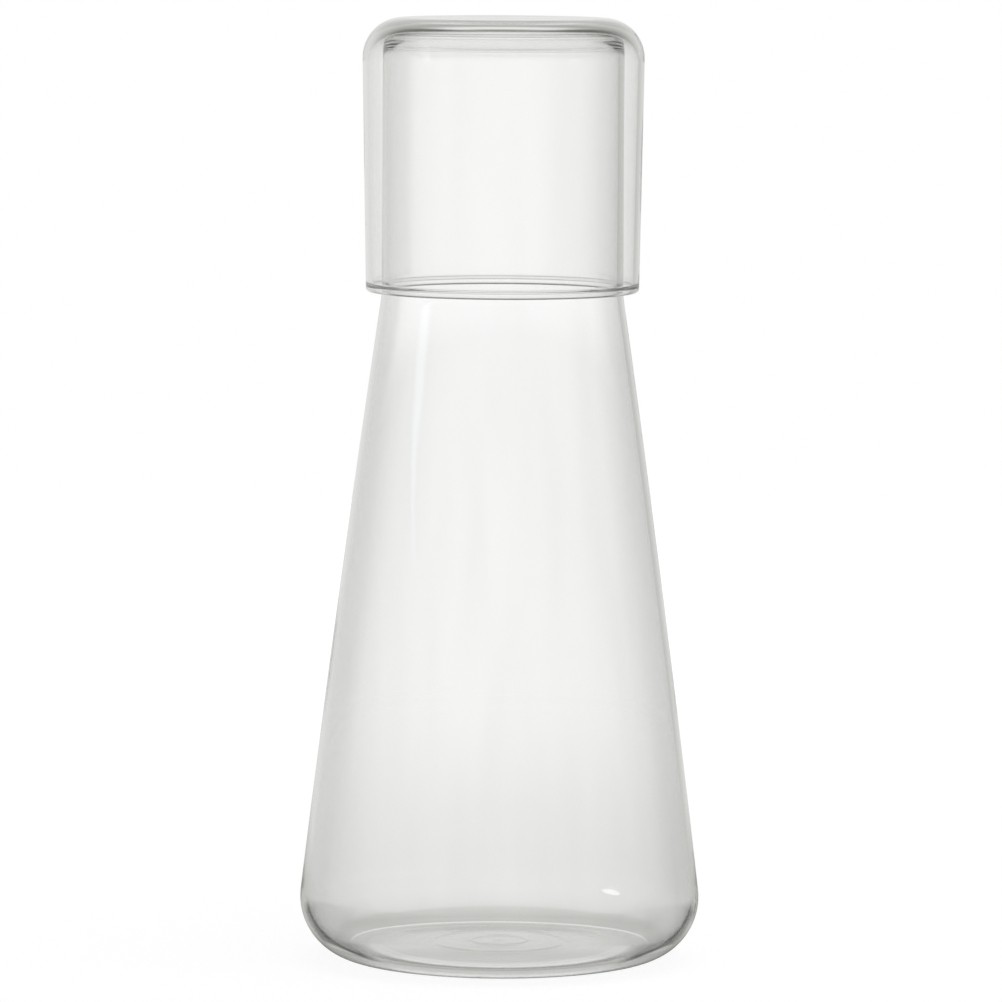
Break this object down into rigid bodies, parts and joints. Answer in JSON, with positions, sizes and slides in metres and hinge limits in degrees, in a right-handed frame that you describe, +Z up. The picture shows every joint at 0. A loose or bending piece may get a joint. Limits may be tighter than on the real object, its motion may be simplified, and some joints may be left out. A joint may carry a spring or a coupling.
{
  "type": "bedside carafe with tumbler",
  "caption": "Clear blown-glass water carafe with a conical body and a straight neck, topped by an upturned tumbler that fits over the neck as its lid.",
  "frame": {"origin": "centre of the foot ring that the carafe stands on, at table level", "axes": "+Z up along the shared axis of carafe and tumbler, towards the tumbler's closed end; X and Y are any two level directions, because the object is round"},
  "size_m": [0.1, 0.1, 0.2357],
  "materials": {
    "carafe_glass": "clear polished borosilicate glass, fire-polished rim",
    "tumbler_glass": "clear polished borosilicate glass, fire-polished rim"
  },
  "bodies": {
    "carafe": {"carafe": "carafe_glass"},
    "tumbler": {"tumbler": "tumbler_glass"}
  },
  "joints": [
    {"name": "tumbler_lift", "type": "slide", "parent": "carafe", "child": "tumbler", "axis": [0, 0, 1], "range_m": [0, 0.1]}
  ]
}
